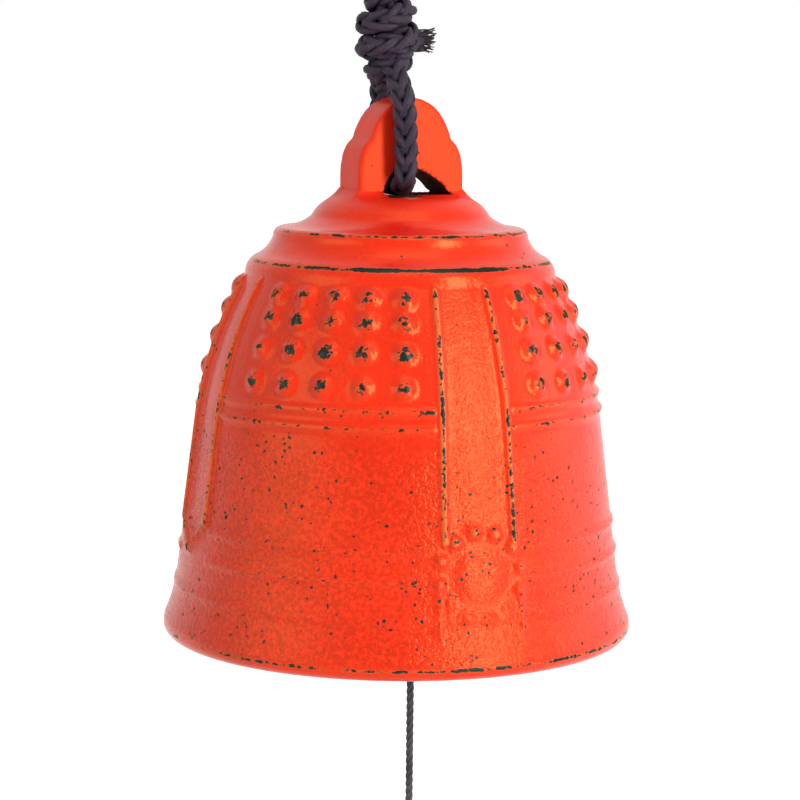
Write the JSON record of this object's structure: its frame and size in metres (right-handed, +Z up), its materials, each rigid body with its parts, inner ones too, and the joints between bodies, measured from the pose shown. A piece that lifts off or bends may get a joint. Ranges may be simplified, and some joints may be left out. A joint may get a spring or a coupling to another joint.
{
  "type": "wind bell",
  "caption": "Hanging wind bell: a painted cast-iron temple-bell shape on a knotted braided cord, with a clapper on a string and a paper strip that catches the wind.",
  "frame": {"origin": "the point under the top of the hanging loop where a hook carries it, on the bell's axis", "axes": "+Z up along the hanging line, -Y the front with a plain band and its lotus seat, +X to the right"},
  "size_m": [0.07, 0.07, 0.298],
  "materials": {
    "braided_cord": "dark aubergine braid",
    "painted_iron": "worn vermilion paint over dark iron",
    "bare_iron": "dark, slightly rough",
    "wire": "plain iron wire",
    "string": "twisted grey-brown thread",
    "eyelet_brass": "stamped",
    "paper": "plain thick paper"
  },
  "bodies": {
    "cord": {"hanging_loop": "braided_cord", "cord_knot": "braided_cord", "lug_sling": "braided_cord", "cord_tail": "braided_cord"},
    "bell": {"bell": "painted_iron", "clapper_eye": "wire", "string_loop": "string"},
    "string_swivel": {"string_knot": "string"},
    "clapper": {"clapper_string": "string", "clapper": "bare_iron", "clapper_knot": "string"},
    "strip_string": {"strip_string": "string"},
    "strip": {"strip_knot": "string", "strip_loop": "string", "strip_eyelet": "eyelet_brass", "paper_strip": "paper"}
  },
  "joints": [
    {"name": "bell_rock", "type": "hinge", "parent": "cord", "child": "bell", "pos_m": [-0.0008, 0, -0.06765], "axis": [0, 1, 0], "range_deg": [-25, 25]},
    {"name": "string_turn", "type": "hinge", "parent": "bell", "child": "string_swivel", "pos_m": [0.0024, 0, -0.08864], "axis": [0, 0, 1], "continuous": true},
    {"name": "clapper_swing", "type": "hinge", "parent": "string_swivel", "child": "clapper", "pos_m": [0.0024, 0, -0.08864], "axis": [0, 1, 0], "range_deg": [-22, 22]},
    {"name": "strip_swing", "type": "hinge", "parent": "clapper", "child": "strip_string", "pos_m": [0.0024, 0, -0.1383], "axis": [0, 1, 0], "range_deg": [-45, 45]},
    {"name": "strip_spin", "type": "hinge", "parent": "strip_string", "child": "strip", "pos_m": [0.0024, 0, -0.17424], "axis": [0, 0, 1], "continuous": true}
  ]
}
